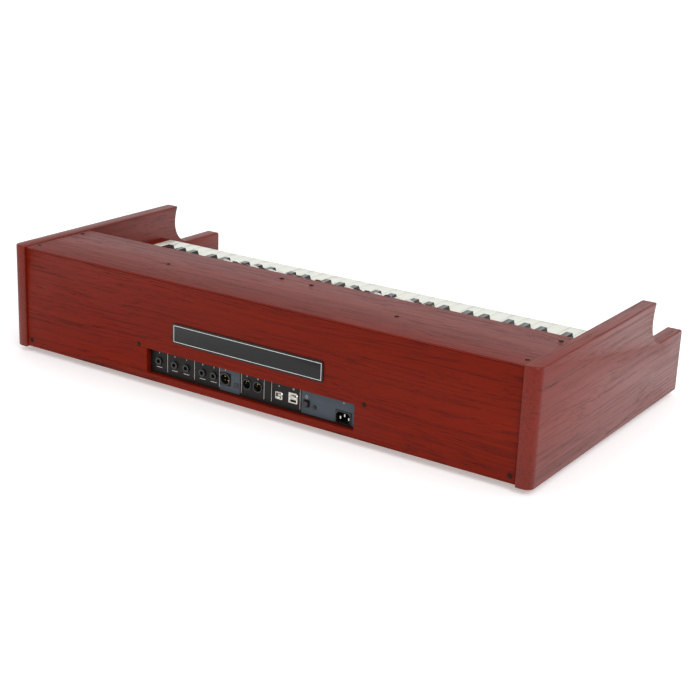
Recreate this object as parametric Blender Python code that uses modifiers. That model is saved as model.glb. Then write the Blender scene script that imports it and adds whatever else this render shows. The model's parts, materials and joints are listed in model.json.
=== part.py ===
"""A two-manual electronic organ in a stained wooden case.

Metres, +Z up. The player sits at -Y, the bass end is at -X and the origin is on
the floor under the middle of the case. The case is a rear panel, a top panel and
a bottom panel between two shaped cheeks. The keys are waterfall keys that hinge at
their rear ends. They are moulded in combs, as on light keybeds: a comb of C, E, G
and B keys, a comb of D, F and A keys and a comb of black keys, whose rails lie one
over another behind the keys. Each manual has a bass and a treble set of combs.
"""

import math

import bmesh
import bpy
from mathutils import Matrix, Vector

# Clearances
GAP = 0.0003
LOOSE = 0.0010

# Case
CASE_DEPTH = 0.500
INNER_WIDTH = 0.885
CHEEK_THICKNESS = 0.0235
CHEEK_BOTTOM = 0.008
CHEEK_TOP = 0.177
CASE_BOTTOM = 0.0105
CASE_TOP = 0.1753
FRONT = -CASE_DEPTH / 2
BACK = CASE_DEPTH / 2
INNER_HALF = INNER_WIDTH / 2
FIT_HALF = INNER_HALF - GAP

# Cheek outline
LOW_STEP_TOP = 0.107
SCOOP_Y = -0.124
SCOOP_Z = 0.1475
SCOOP_RADIUS = SCOOP_Z - LOW_STEP_TOP
BROW_RADIUS = 0.067
NOSE_RADIUS = 0.005
REAR_ROUNDING = 0.012
EDGE_ROUNDING = 0.0022

# Wooden panels
REAR_PANEL_FACE = 0.246
REAR_PANEL_INSIDE = 0.228
TOP_PANEL_FRONT = 0.100
TOP_PANEL_THICKNESS = 0.015
TOP_PANEL_LIP = 0.003
BOTTOM_PANEL_THICKNESS = 0.007
FRONT_RAIL_FACE = -0.226
FRONT_RAIL_THICKNESS = 0.018
FRONT_RAIL_TOP = 0.052
LOWER_BLOCK_END = 0.1950
UPPER_BLOCK_END = 0.1385
SLIP_START = 0.0060
SLIP_TOP = -0.0305

# Opening for the connectors
OPENING_HALF = 0.1892
OPENING_LOW = 0.0215
OPENING_HIGH = 0.0608
OPENING_CORNER = 0.002
RECESS = 0.010
POCKET_MARGIN = 0.0045
PLATE_THICKNESS = 0.0015
PLATE_FACE = REAR_PANEL_FACE - RECESS - GAP

# Name plate on the rear panel, bare
NAME_PLATE_LENGTH = 0.273
NAME_PLATE_LOW = 0.0807
NAME_PLATE_HIGH = 0.1120
NAME_PLATE_THICKNESS = 0.0020

# Feet
FOOT_RADIUS = 0.013
FOOT_PLACES = {
    "front_bass_foot": (-0.38, -0.17),
    "front_treble_foot": (0.38, -0.17),
    "rear_bass_foot": (-0.38, 0.19),
    "rear_treble_foot": (0.38, 0.19),
}

# Keys. Profile sizes count back from the front of the white keys and up from their tops.
OCTAVE = 0.1645
WHITE_PITCH = OCTAVE / 7
WHITE_GAP = 0.0009
WHITE_KEYS = 36
MANUAL_LEFT = -WHITE_KEYS * WHITE_PITCH / 2
NOTCH_FRONT = 0.0485
NOTCH_HALF = 0.0060
KEY_END = 0.186
TONGUE_END = 0.195
CAP_LENGTH = 0.143
CAP_THICKNESS = 0.011
LIP_DEPTH = 0.019
LIP_THICKNESS = 0.012
LIP_ROUNDING = 0.004
SHANK_TOP = -0.012
SHANK_START = 0.128
BLACK_FRONT = 0.0495
BLACK_SLOPE = 0.003
BLACK_RISE = 0.008
BLACK_HALF = 0.0049
PIVOT_BACK = 0.195
PIVOT_DEPTH = -0.0155

# Comb rails, one layer for each comb, counted from the tops of the white keys
RAIL_START = 0.191
RAIL_END = 0.199
RAIL_THICKNESS = 0.0020
TONGUE_INSET = 0.0003
RAIL_TOPS = {"outer": -0.0120, "inner": -0.0145, "black": -0.0170}
COMB_NOTES = {
    "outer": ("c", "e", "g", "b"),
    "inner": ("d", "f", "a"),
    "black": ("c_sharp", "d_sharp", "f_sharp", "g_sharp", "a_sharp"),
}
SECTIONS = {"bass": (0, 2), "treble": (2, 5)}

# Manuals: front of the white keys and height of their tops
UPPER_FRONT = -0.0897
UPPER_TOP = 0.1268
LOWER_FRONT = -0.205
LOWER_TOP = 0.0636
MANUALS = {"upper": (UPPER_FRONT, UPPER_TOP), "lower": (LOWER_FRONT, LOWER_TOP)}

# Keybeds. Sizes count as on the keys.
BED_BOTTOM = -0.0458
BED_THICKNESS = 0.004
BED_FRONT = 0.0183
BED_BACK = 0.214
BED_HALF = 0.4232
GUIDE_START = 0.022
GUIDE_END = 0.030
GUIDE_TOP = -0.0235
PIVOT_RAIL_START = 0.189
PIVOT_RAIL_TOP = -0.0195
STOP_START = 0.204
STOP_TOP = -0.008

# Control panel: a sloping steel sheet from the top panel down to the upper manual
PANEL_REAR = 0.0988
PANEL_HIGH = 0.1640
PANEL_LENGTH = 0.0555
PANEL_SLOPE = math.radians(28.0)
PANEL_THICKNESS = 0.0016

# Drawbars. Depths count up from the panel and lengths count down its slope.
DRAWBAR_PITCH = 0.0176
DRAWBAR_MIDDLE = -0.0232
DRAWBAR_REST = 0.0130
DRAWBAR_TRAVEL = 0.029
KNOB_HALF = 0.0056
KNOB_LENGTH = 0.015
KNOB_BOTTOM = 0.001
KNOB_TOP = 0.0135
STEM_HALF = 0.0012
SLOT_HALF = 0.0018
STEM_BOTTOM = -0.006
FOOT_HALF = 0.0040
FOOT_BOTTOM = -0.009
UNIT_TOP = -0.010
UNIT_BOTTOM = -0.019

# Volume knob on the panel
TURN_KNOB_X = -0.400
TURN_KNOB_DOWN = 0.027
TURN_KNOB_RADIUS = 0.0085
TURN_KNOB_HEIGHT = 0.0080
SHAFT_RADIUS = 0.0030

# Connectors: middles along X and heights
JACK_PLACES = ((0.1723, 0.0414), (0.1418, 0.0414), (0.1191, 0.0414), (0.0880, 0.0414), (0.0665, 0.0414))
JACK_NUT_RADIUS = 0.0060
JACK_BORE_RADIUS = 0.0032
JACK_BUSH_RADIUS = 0.0046
JACK_BODY_RADIUS = 0.0070
SPEAKER_PLACE = (0.0446, 0.0414)
SPEAKER_RADIUS = 0.0100
SPEAKER_BORE_RADIUS = 0.0078
MIDI_PLACES = ((0.0047, 0.0425), (-0.0151, 0.0425))
MIDI_RADIUS = 0.0085
MIDI_BORE_RADIUS = 0.0068
USB_SMALL_PLACE = (-0.0531, 0.0392)
USB_SMALL_SIZE = (0.0120, 0.0112)
USB_SMALL_HOLE = (0.0086, 0.0080)
USB_LARGE_PLACE = (-0.0785, 0.0412)
USB_LARGE_SIZE = (0.0146, 0.0158)
USB_LARGE_HOLE = (0.0126, 0.0052)
USB_LARGE_OFFSET = 0.0037
POWER_PLACE = (-0.1021, 0.0385)
POWER_CAP_RADIUS = 0.0050
POWER_CAP_PROUD = 0.0050
INLET_PLACE = (-0.1655, 0.0324)
INLET_SIZE = (0.0262, 0.0188)
INLET_HOLE = (0.0236, 0.0160)
INLET_DEPTH = 0.018
BOARD_THICKNESS = 0.0016

WHITE_NOTES = ("c", "d", "e", "f", "g", "a", "b")
LEFT_CUT_NOTES = ("d", "e", "g", "a", "b")
RIGHT_CUT_NOTES = ("c", "d", "f", "g", "a")
# Middle of each black key, as a share of its group of white keys
BLACK_MIDDLES = {
    "c_sharp": 0.3 * 3 * WHITE_PITCH,
    "d_sharp": 0.7 * 3 * WHITE_PITCH,
    "f_sharp": 3 * WHITE_PITCH + 1.5 / 7 * 4 * WHITE_PITCH,
    "g_sharp": 3 * WHITE_PITCH + 3.5 / 7 * 4 * WHITE_PITCH,
    "a_sharp": 3 * WHITE_PITCH + 5.5 / 7 * 4 * WHITE_PITCH,
}
BLACK_RIGHT_OF = {"c": "c_sharp", "d": "d_sharp", "f": "f_sharp", "g": "g_sharp", "a": "a_sharp"}
BLACK_LEFT_OF = {"d": "c_sharp", "e": "d_sharp", "g": "f_sharp", "a": "g_sharp", "b": "a_sharp"}
OCTAVES = 5

# Drawbar slots counted from the bass end: first slot and number of bars of each set
FOOTAGES = ("16", "5_1_3", "8", "4", "2_2_3", "2", "1_3_5", "1_1_3", "1")
FOOTAGE_COLOURS = ("brown", "brown", "white", "white", "black", "white", "black", "black", "white")
DRAWBAR_SETS = {"upper": (0, 9), "bass": (10, 2), "lower": (13, 9)}
SLOT_COUNT = 22

COLOURS = {
    "stained_wood": ((0.20, 0.022, 0.014), 0.30, 0.0),
    "plain_board": ((0.30, 0.20, 0.12), 0.65, 0.0),
    "ivory_plastic": ((0.80, 0.81, 0.72), 0.25, 0.0),
    "black_plastic": ((0.012, 0.012, 0.013), 0.25, 0.0),
    "brown_plastic": ((0.10, 0.035, 0.018), 0.30, 0.0),
    "white_plastic": ((0.82, 0.81, 0.77), 0.30, 0.0),
    "black_steel": ((0.020, 0.019, 0.017), 0.45, 0.6),
    "zinc_steel": ((0.50, 0.51, 0.52), 0.38, 1.0),
    "bronze": ((0.09, 0.05, 0.03), 0.40, 1.0),
    "rubber": ((0.015, 0.015, 0.015), 0.85, 0.0),
    "nickel": ((0.62, 0.61, 0.58), 0.28, 1.0),
    "circuit_board": ((0.02, 0.12, 0.05), 0.50, 0.0),
}

# Directions on the sloping panel: across, up from it and down along it
ACROSS = Vector((1.0, 0.0, 0.0))
OFF_PANEL = Vector((0.0, -math.sin(PANEL_SLOPE), math.cos(PANEL_SLOPE)))
DOWN_PANEL = Vector((0.0, -math.cos(PANEL_SLOPE), -math.sin(PANEL_SLOPE)))
PANEL_ORIGIN = Vector((0.0, PANEL_REAR, PANEL_HIGH))


def clear_scene():
    """Start from nothing."""
    for obj in list(bpy.data.objects):
        bpy.data.objects.remove(obj)


def new_collection(name):
    group = bpy.data.collections.new(name)
    bpy.context.scene.collection.children.link(group)
    return group


def finish_material(slot):
    """Return the Principled material of a finish, made once."""
    if slot in bpy.data.materials:
        return bpy.data.materials[slot]
    colour, roughness, metallic = COLOURS[slot]
    material = bpy.data.materials.new(slot)
    material.use_nodes = True
    shader = material.node_tree.nodes["Principled BSDF"]
    shader.inputs["Base Color"].default_value = (*colour, 1.0)
    shader.inputs["Roughness"].default_value = roughness
    shader.inputs["Metallic"].default_value = metallic
    return material


def frame_of(across, up, out, origin=(0.0, 0.0, 0.0)):
    """Matrix that takes a drawing's own axes to three directions and a place."""
    columns = Matrix((across, up, out)).transposed()
    return Matrix.Translation(Vector(origin)) @ columns.to_4x4()


SIDE = frame_of((0, 1, 0), (0, 0, 1), (1, 0, 0))


def rear_frame(y):
    """Drawings seen from the front, along X and Z, standing at y."""
    return frame_of((1, 0, 0), (0, 0, 1), (0, -1, 0), (0, y, 0))


def panel_frame(height):
    """Drawings on the sloping panel, along X and up its slope."""
    return frame_of(ACROSS, -DOWN_PANEL, OFF_PANEL, PANEL_ORIGIN + OFF_PANEL * height)


def slide_frame(down):
    """Drawings across the panel, along X and up from it."""
    return frame_of(ACROSS, OFF_PANEL, DOWN_PANEL, PANEL_ORIGIN + DOWN_PANEL * down)


def arc(centre, radius, start, end, steps):
    """Points on a circle's arc, angles in degrees."""
    points = []
    for step in range(steps + 1):
        angle = math.radians(start + (end - start) * step / steps)
        points.append((centre[0] + radius * math.cos(angle), centre[1] + radius * math.sin(angle)))
    return points


def circle(centre, radius, steps=12):
    return arc(centre, radius, 0, 360 * (steps - 1) / steps, steps - 1)


def rectangle(left, bottom, right, top):
    return [(left, bottom), (right, bottom), (right, top), (left, top)]


def centred(place, size):
    return rectangle(
        place[0] - size[0] / 2, place[1] - size[1] / 2, place[0] + size[0] / 2, place[1] + size[1] / 2
    )


def rounded(left, bottom, right, top, radius, steps=4):
    """A rectangle with round corners."""
    points = arc((right - radius, bottom + radius), radius, -90, 0, steps)
    points += arc((right - radius, top - radius), radius, 0, 90, steps)
    points += arc((left + radius, top - radius), radius, 90, 180, steps)
    points += arc((left + radius, bottom + radius), radius, 180, 270, steps)
    return points


def tidy_mesh(mesh):
    """Weld a mesh and turn its faces outwards."""
    work = bmesh.new()
    work.from_mesh(mesh)
    bmesh.ops.remove_doubles(work, verts=work.verts, dist=1e-6)
    bmesh.ops.recalc_face_normals(work, faces=work.faces)
    work.to_mesh(mesh)
    work.free()


def flat_mesh(outlines, depth, place):
    """Fill a flat drawing, its holes left open, and give it depth."""
    curve = bpy.data.curves.new("drawing", "CURVE")
    curve.dimensions = "2D"
    curve.fill_mode = "BOTH"
    curve.extrude = depth / 2
    for outline in outlines:
        spline = curve.splines.new("POLY")
        spline.points.add(len(outline) - 1)
        for point, (across, up) in zip(spline.points, outline):
            point.co = (across, up, 0.0, 1.0)
        spline.use_cyclic_u = True
    drawing = bpy.data.objects.new("drawing", curve)
    bpy.context.scene.collection.objects.link(drawing)
    graph = bpy.context.evaluated_depsgraph_get()
    mesh = bpy.data.meshes.new_from_object(drawing.evaluated_get(graph))
    bpy.data.objects.remove(drawing)
    mesh.transform(place)
    tidy_mesh(mesh)
    return mesh


def turned_mesh(profile, place, steps=16):
    """Turn a profile of (radius, height) points about the drawing's own up axis."""
    mesh = bpy.data.meshes.new("turned")
    points = [(radius, 0.0, height) for radius, height in profile]
    edges = [(index, index + 1) for index in range(len(profile) - 1)]
    mesh.from_pydata(points, edges, [])
    drawing = bpy.data.objects.new("turned", mesh)
    bpy.context.scene.collection.objects.link(drawing)
    screw = drawing.modifiers.new("turn", "SCREW")
    screw.axis = "Z"
    screw.steps = steps
    screw.render_steps = steps
    screw.use_merge_vertices = True
    screw.merge_threshold = 1e-5
    graph = bpy.context.evaluated_depsgraph_get()
    result = bpy.data.meshes.new_from_object(drawing.evaluated_get(graph))
    bpy.data.objects.remove(drawing)
    result.transform(place)
    tidy_mesh(result)
    return result


def box_mesh(low, high):
    """A box between two corners."""
    work = bmesh.new()
    bmesh.ops.create_cube(work, size=1.0)
    size = Vector(high) - Vector(low)
    bmesh.ops.scale(work, vec=size, verts=work.verts)
    bmesh.ops.translate(work, vec=(Vector(low) + Vector(high)) / 2, verts=work.verts)
    mesh = bpy.data.meshes.new("box")
    work.to_mesh(mesh)
    work.free()
    return mesh


def add_node(name, mesh, slot, pivot=(0.0, 0.0, 0.0)):
    """Link a mesh drawn in world space as a named part with its origin on its pivot."""
    mesh.name = name
    mesh.transform(Matrix.Translation(-Vector(pivot)))
    mesh.materials.clear()
    mesh.materials.append(finish_material(slot))
    obj = bpy.data.objects.new(name, mesh)
    obj.location = pivot
    organ.objects.link(obj)
    return obj


def add_cutter(name, mesh):
    obj = bpy.data.objects.new(name, mesh)
    obj.hide_render = True
    obj.display_type = "WIRE"
    cutters.objects.link(obj)
    return obj


def combine(obj, other, operation):
    """Join a part to another shape, cut it with one, or keep only what they share."""
    step = obj.modifiers.new(operation.lower(), "BOOLEAN")
    step.operation = operation
    step.solver = "EXACT"
    step.object = other


def smooth(obj, degrees=35):
    """Shade round pieces smooth up to their sharp edges."""
    obj.data.shade_smooth()
    obj.data.set_sharp_from_angle(angle=math.radians(degrees))


# Case


def cheek_outline():
    """The cheek from the side: high behind the scoop and low in front of it."""
    lean = math.degrees(math.asin((CHEEK_TOP - SCOOP_Z) / BROW_RADIUS))
    points = [(BACK, CHEEK_BOTTOM), (BACK, CHEEK_TOP)]
    brow = arc((SCOOP_Y - BROW_RADIUS, SCOOP_Z), BROW_RADIUS, lean, 0, 4)
    scoop = arc((SCOOP_Y - SCOOP_RADIUS, SCOOP_Z), SCOOP_RADIUS, 0, -90, 9)
    nose = arc((FRONT + NOSE_RADIUS, LOW_STEP_TOP - NOSE_RADIUS), NOSE_RADIUS, 90, 180, 3)
    return points + brow + scoop[1:] + nose + [(FRONT, CHEEK_BOTTOM)]


def add_cheek(name, side):
    """A shaped end board with a well-rounded rear edge and eased edges all round."""
    middle = side * (INNER_HALF + CHEEK_THICKNESS / 2)
    mesh = flat_mesh([cheek_outline()], CHEEK_THICKNESS, SIDE)
    mesh.transform(Matrix.Translation((middle, 0, 0)))
    work = bmesh.new()
    work.from_mesh(mesh)
    flat_turn = math.radians(1)
    bmesh.ops.dissolve_limit(work, angle_limit=flat_turn, verts=work.verts, edges=work.edges)
    outer = side * (INNER_HALF + CHEEK_THICKNESS)
    rear_edge = [
        edge
        for edge in work.edges
        if all(abs(vert.co.x - outer) < GAP and abs(vert.co.y - BACK) < GAP for vert in edge.verts)
    ]
    bmesh.ops.bevel(work, geom=rear_edge, offset=REAR_ROUNDING, segments=5, profile=0.5, affect="EDGES")
    sharp_turn = math.radians(50)
    sharp = [edge for edge in work.edges if edge.calc_face_angle(0) > sharp_turn]
    bmesh.ops.bevel(work, geom=sharp, offset=EDGE_ROUNDING, segments=2, profile=0.5, affect="EDGES")
    work.to_mesh(mesh)
    work.free()
    tidy_mesh(mesh)
    smooth(add_node(name, mesh, "stained_wood"))


def add_rear_panel():
    """The back board with the connector opening and its pocket behind."""
    top = CASE_TOP - TOP_PANEL_LIP - GAP
    outlines = [rectangle(-FIT_HALF, CASE_BOTTOM, FIT_HALF, top)]
    outlines.append(rounded(-OPENING_HALF, OPENING_LOW, OPENING_HALF, OPENING_HIGH, OPENING_CORNER, 2))
    thickness = REAR_PANEL_FACE - REAR_PANEL_INSIDE
    mesh = flat_mesh(outlines, thickness, rear_frame((REAR_PANEL_FACE + REAR_PANEL_INSIDE) / 2))
    panel = add_node("rear_panel", mesh, "stained_wood")
    pocket = box_mesh(
        (-OPENING_HALF - POCKET_MARGIN, REAR_PANEL_INSIDE - LOOSE, OPENING_LOW - POCKET_MARGIN),
        (OPENING_HALF + POCKET_MARGIN, REAR_PANEL_FACE - RECESS, OPENING_HIGH + POCKET_MARGIN),
    )
    combine(panel, add_cutter("plate_pocket", pocket), "DIFFERENCE")


def add_top_panel():
    """The lid behind the controls, with a thin lip over the rear panel."""
    bottom = CASE_TOP - TOP_PANEL_THICKNESS
    lip_bottom = CASE_TOP - TOP_PANEL_LIP
    inside = REAR_PANEL_INSIDE - GAP
    outline = [
        (TOP_PANEL_FRONT, bottom),
        (inside, bottom),
        (inside, lip_bottom),
        (REAR_PANEL_FACE, lip_bottom),
        (REAR_PANEL_FACE, CASE_TOP),
        (TOP_PANEL_FRONT, CASE_TOP),
    ]
    add_node("top_panel", flat_mesh([outline], 2 * FIT_HALF, SIDE), "stained_wood")


def add_bottom_panel():
    rail_back = FRONT_RAIL_FACE + FRONT_RAIL_THICKNESS
    board = box_mesh(
        (-FIT_HALF, rail_back + GAP, CASE_BOTTOM),
        (FIT_HALF, REAR_PANEL_INSIDE - GAP, CASE_BOTTOM + BOTTOM_PANEL_THICKNESS),
    )
    add_node("bottom_panel", board, "plain_board")


def add_key_frame(name, manual, rail, block_front, block_end):
    """A cross rail with the two blocks glued to it that fill the ends of a manual."""
    front, top = MANUALS[manual]
    frame = add_node(name, rail, "stained_wood")
    for side in (-1, 1):
        near = side * (BED_HALF + GAP)
        far = side * (FIT_HALF - TONGUE_INSET)
        low = (min(near, far), block_front, top + BED_BOTTOM + TONGUE_INSET)
        high = (max(near, far), front + block_end, top - LOOSE / 2)
        block = add_cutter(f"{name}_block_{side}", box_mesh(low, high))
        combine(frame, block, "UNION")


def add_key_frames():
    """The front rail with the lower manual's blocks, and the upper manual's key slip with its own."""
    rail_back = FRONT_RAIL_FACE + FRONT_RAIL_THICKNESS
    rail = box_mesh((-FIT_HALF, FRONT_RAIL_FACE, CASE_BOTTOM), (FIT_HALF, rail_back, FRONT_RAIL_TOP))
    add_key_frame("front_rail", "lower", rail, rail_back - LOOSE, LOWER_BLOCK_END)
    slip = box_mesh(
        (-FIT_HALF, UPPER_FRONT + SLIP_START, UPPER_TOP + BED_BOTTOM),
        (FIT_HALF, UPPER_FRONT + BED_FRONT - GAP, UPPER_TOP + SLIP_TOP),
    )
    add_key_frame("upper_key_slip", "upper", slip, UPPER_FRONT + LOOSE, UPPER_BLOCK_END)


def add_feet():
    """Four round rubber feet, tapering to the floor."""
    height = CASE_BOTTOM - GAP
    profile = [(0, height), (FOOT_RADIUS, height), (FOOT_RADIUS - 0.0015, 0.0), (0, 0)]
    for name, (x, y) in FOOT_PLACES.items():
        smooth(add_node(name, turned_mesh(profile, Matrix.Translation((x, y, 0)), 16), "rubber"))


def add_name_plate():
    half = NAME_PLATE_LENGTH / 2
    outline = rounded(-half, NAME_PLATE_LOW, half, NAME_PLATE_HIGH, 0.004, 3)
    place = rear_frame(REAR_PANEL_FACE + GAP + NAME_PLATE_THICKNESS / 2)
    add_node("name_plate", flat_mesh([outline], NAME_PLATE_THICKNESS, place), "black_plastic")


# Connectors


def into_plate(place):
    """A turned connector's place: its up axis runs out of the plate's face."""
    return frame_of((1, 0, 0), (0, 0, -1), (0, 1, 0), (place[0], PLATE_FACE, place[1]))


def add_connector_plate():
    """A steel plate in the pocket behind the opening, with a hole for each connector."""
    margin = POCKET_MARGIN - GAP
    outer = rectangle(
        -OPENING_HALF - margin, OPENING_LOW - margin, OPENING_HALF + margin, OPENING_HIGH + margin
    )
    holes = [circle(place, JACK_BUSH_RADIUS + GAP) for place in JACK_PLACES]
    holes.append(circle(SPEAKER_PLACE, SPEAKER_BORE_RADIUS + LOOSE, 16))
    holes += [circle(place, MIDI_BORE_RADIUS + LOOSE, 16) for place in MIDI_PLACES]
    holes.append(circle(POWER_PLACE, POWER_CAP_RADIUS + GAP, 16))
    for place, size in (
        (USB_SMALL_PLACE, USB_SMALL_SIZE),
        (USB_LARGE_PLACE, USB_LARGE_SIZE),
        (INLET_PLACE, INLET_SIZE),
    ):
        holes.append(centred(place, (size[0] + 2 * GAP, size[1] + 2 * GAP)))
    place = rear_frame(PLATE_FACE - PLATE_THICKNESS / 2)
    add_node("connector_plate", flat_mesh([outer] + holes, PLATE_THICKNESS, place), "black_steel")


def socket_profile(flange, proud, neck, body, bore, bore_depth, body_depth):
    """A round socket: a flange outside the plate, a neck through it and a blind bore."""
    back = -PLATE_THICKNESS - GAP
    return [
        (0, -bore_depth),
        (bore, -bore_depth),
        (bore, proud),
        (flange, proud),
        (flange, GAP),
        (neck, GAP),
        (neck, back),
        (body, back),
        (body, -body_depth),
        (0, -body_depth),
    ]


def add_round_sockets():
    """Five jacks on their board, the speaker socket and the twin MIDI socket."""
    jack = socket_profile(
        JACK_NUT_RADIUS, 0.0028, JACK_BUSH_RADIUS, JACK_BODY_RADIUS, JACK_BORE_RADIUS, 0.020, 0.024
    )
    left = JACK_PLACES[-1][0] - JACK_BODY_RADIUS - LOOSE
    right = JACK_PLACES[0][0] + JACK_BODY_RADIUS + LOOSE
    height = JACK_PLACES[0][1]
    board_face = PLATE_FACE - 0.024 + LOOSE
    board = box_mesh(
        (left, board_face - BOARD_THICKNESS - LOOSE, height - 0.011), (right, board_face, height + 0.010)
    )
    jacks = add_node("jack_board", board, "black_plastic")
    for number, place in enumerate(JACK_PLACES):
        body = add_cutter(f"jack_{number}", turned_mesh(jack, into_plate(place), 12))
        combine(jacks, body, "UNION")
    neck = SPEAKER_BORE_RADIUS + LOOSE - GAP
    speaker = socket_profile(
        SPEAKER_RADIUS, 0.0018, neck, SPEAKER_RADIUS, SPEAKER_BORE_RADIUS, 0.010, 0.014
    )
    smooth(add_node("speaker_socket", turned_mesh(speaker, into_plate(SPEAKER_PLACE), 20), "black_plastic"))
    neck = MIDI_BORE_RADIUS + LOOSE - GAP
    midi = socket_profile(MIDI_RADIUS, 0.0012, neck, MIDI_RADIUS, MIDI_BORE_RADIUS, 0.009, 0.013)
    (first_x, height), (last_x, _) = MIDI_PLACES
    bridge = box_mesh(
        (last_x, PLATE_FACE - 0.0125, height - 0.006), (first_x, PLATE_FACE - 0.0105, height + 0.006)
    )
    sockets = add_node("midi_sockets", bridge, "black_plastic")
    for number, place in enumerate(MIDI_PLACES):
        body = add_cutter(f"midi_{number}", turned_mesh(midi, into_plate(place), 16))
        combine(sockets, body, "UNION")


def shell_mesh(place, size, depth, proud):
    """A block at a square connector's place, from behind the plate to in front of it."""
    x, z = place
    wide, high = size
    return box_mesh(
        (x - wide / 2, PLATE_FACE - depth, z - high / 2), (x + wide / 2, PLATE_FACE + proud, z + high / 2)
    )


def add_usb_sockets():
    """A square USB socket and a stacked pair beside it, on one small board."""
    depth = 0.016
    small = shell_mesh(USB_SMALL_PLACE, USB_SMALL_SIZE, depth, 0.0012)
    sockets = add_node("usb_sockets", small, "nickel")
    large = shell_mesh(USB_LARGE_PLACE, USB_LARGE_SIZE, depth, 0.0013)
    combine(sockets, add_cutter("usb_large_body", large), "UNION")
    x, z = USB_LARGE_PLACE
    back = PLATE_FACE - depth
    board = box_mesh(
        (x - 0.009, back - BOARD_THICKNESS, z - 0.010), (USB_SMALL_PLACE[0] + 0.008, back + LOOSE, z + 0.010)
    )
    combine(sockets, add_cutter("usb_board", board), "UNION")
    mouths = {
        "usb_small_mouth": shell_mesh(USB_SMALL_PLACE, USB_SMALL_HOLE, 0.010, 0.005),
        "usb_low_mouth": shell_mesh((x, z - USB_LARGE_OFFSET), USB_LARGE_HOLE, 0.012, 0.005),
        "usb_high_mouth": shell_mesh((x, z + USB_LARGE_OFFSET), USB_LARGE_HOLE, 0.012, 0.005),
    }
    for name, mesh in mouths.items():
        combine(sockets, add_cutter(name, mesh), "DIFFERENCE")


def add_mains_inlet():
    """An inlet with its three-sided mouth and the two upper corners cut off."""
    inlet = shell_mesh(INLET_PLACE, INLET_SIZE, INLET_DEPTH + 0.003, 0.0015)
    node = add_node("mains_inlet", inlet, "black_plastic")
    x, z = INLET_PLACE
    wide = INLET_HOLE[0] / 2
    high = INLET_HOLE[1] / 2
    clip = 0.004
    mouth = [
        (x - wide, z - high),
        (x + wide, z - high),
        (x + wide, z + high - clip),
        (x + wide - clip, z + high),
        (x - wide + clip, z + high),
        (x - wide, z + high - clip),
    ]
    cutter = flat_mesh([mouth], INLET_DEPTH + 0.006, rear_frame(PLATE_FACE + 0.003 - INLET_DEPTH / 2))
    combine(node, add_cutter("inlet_mouth", cutter), "DIFFERENCE")


def add_power_button():
    """A round button through the plate, with a collar behind it."""
    profile = [
        (0, POWER_CAP_PROUD),
        (POWER_CAP_RADIUS - 0.0006, POWER_CAP_PROUD),
        (POWER_CAP_RADIUS, POWER_CAP_PROUD - 0.0006),
        (POWER_CAP_RADIUS, -0.0045),
        (POWER_CAP_RADIUS + 0.0012, -0.0045),
        (POWER_CAP_RADIUS + 0.0012, -0.0060),
        (0, -0.0060),
    ]
    pivot = (POWER_PLACE[0], PLATE_FACE, POWER_PLACE[1])
    mesh = turned_mesh(profile, into_plate(POWER_PLACE), 16)
    smooth(add_node("power_button", mesh, "black_plastic", pivot))


# Keys


def tongue(layer):
    """The thin strip behind a key that runs into its comb's rail."""
    upper = RAIL_TOPS[layer] - TONGUE_INSET
    lower = RAIL_TOPS[layer] - RAIL_THICKNESS + TONGUE_INSET
    return [(KEY_END, upper), (TONGUE_END, upper), (TONGUE_END, lower), (KEY_END, lower)]


def white_profile(front, top, layer):
    """A waterfall key from the side, with a deep rounded lip and a thin shank."""
    nose = arc((LIP_ROUNDING, -LIP_ROUNDING), LIP_ROUNDING, 180, 90, 3)
    points = [(0, -LIP_DEPTH)] + nose
    points += [(CAP_LENGTH, 0), (CAP_LENGTH, SHANK_TOP), (KEY_END, SHANK_TOP)]
    points += tongue(layer)
    points += [
        (KEY_END, -LIP_DEPTH),
        (SHANK_START, -LIP_DEPTH),
        (SHANK_START, -CAP_THICKNESS),
        (LIP_THICKNESS, -CAP_THICKNESS),
        (LIP_THICKNESS, -LIP_DEPTH),
    ]
    return [(front + back, top + up) for back, up in points]


def black_profile(front, top, layer):
    """A black key from the side, with a sloping front."""
    points = [
        (BLACK_FRONT, -CAP_THICKNESS),
        (BLACK_FRONT, 0.001),
        (BLACK_FRONT + BLACK_SLOPE, BLACK_RISE),
        (CAP_LENGTH, BLACK_RISE),
        (CAP_LENGTH, SHANK_TOP),
        (KEY_END, SHANK_TOP),
    ]
    points += tongue(layer)
    points += [(KEY_END, -LIP_DEPTH), (SHANK_START, -LIP_DEPTH), (SHANK_START, -CAP_THICKNESS)]
    return [(front + back, top + up) for back, up in points]


def white_outline(octave, note, front):
    """One white key from above, notched where black keys pass."""
    number = octave * len(WHITE_NOTES) + WHITE_NOTES.index(note)
    start = MANUAL_LEFT + octave * OCTAVE
    left = MANUAL_LEFT + number * WHITE_PITCH + WHITE_GAP / 2
    right = MANUAL_LEFT + (number + 1) * WHITE_PITCH - WHITE_GAP / 2
    near = front - LOOSE
    far = front + TONGUE_END + LOOSE
    notch = front + NOTCH_FRONT
    points = [(left, near), (right, near)]
    if note in RIGHT_CUT_NOTES and number + 1 < WHITE_KEYS:
        cut = start + BLACK_MIDDLES[BLACK_RIGHT_OF[note]] - NOTCH_HALF
        points += [(right, notch), (cut, notch), (cut, far)]
    else:
        points.append((right, far))
    if note in LEFT_CUT_NOTES:
        cut = start + BLACK_MIDDLES[BLACK_LEFT_OF[note]] + NOTCH_HALF
        points += [(cut, far), (cut, notch), (left, notch)]
    else:
        points.append((left, far))
    return points


def black_outline(octave, note, front):
    """One black key from above."""
    middle = MANUAL_LEFT + octave * OCTAVE + BLACK_MIDDLES[note]
    near = front + BLACK_FRONT - LOOSE
    far = front + TONGUE_END + LOOSE
    return rectangle(middle - BLACK_HALF, near, middle + BLACK_HALF, far)


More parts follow.
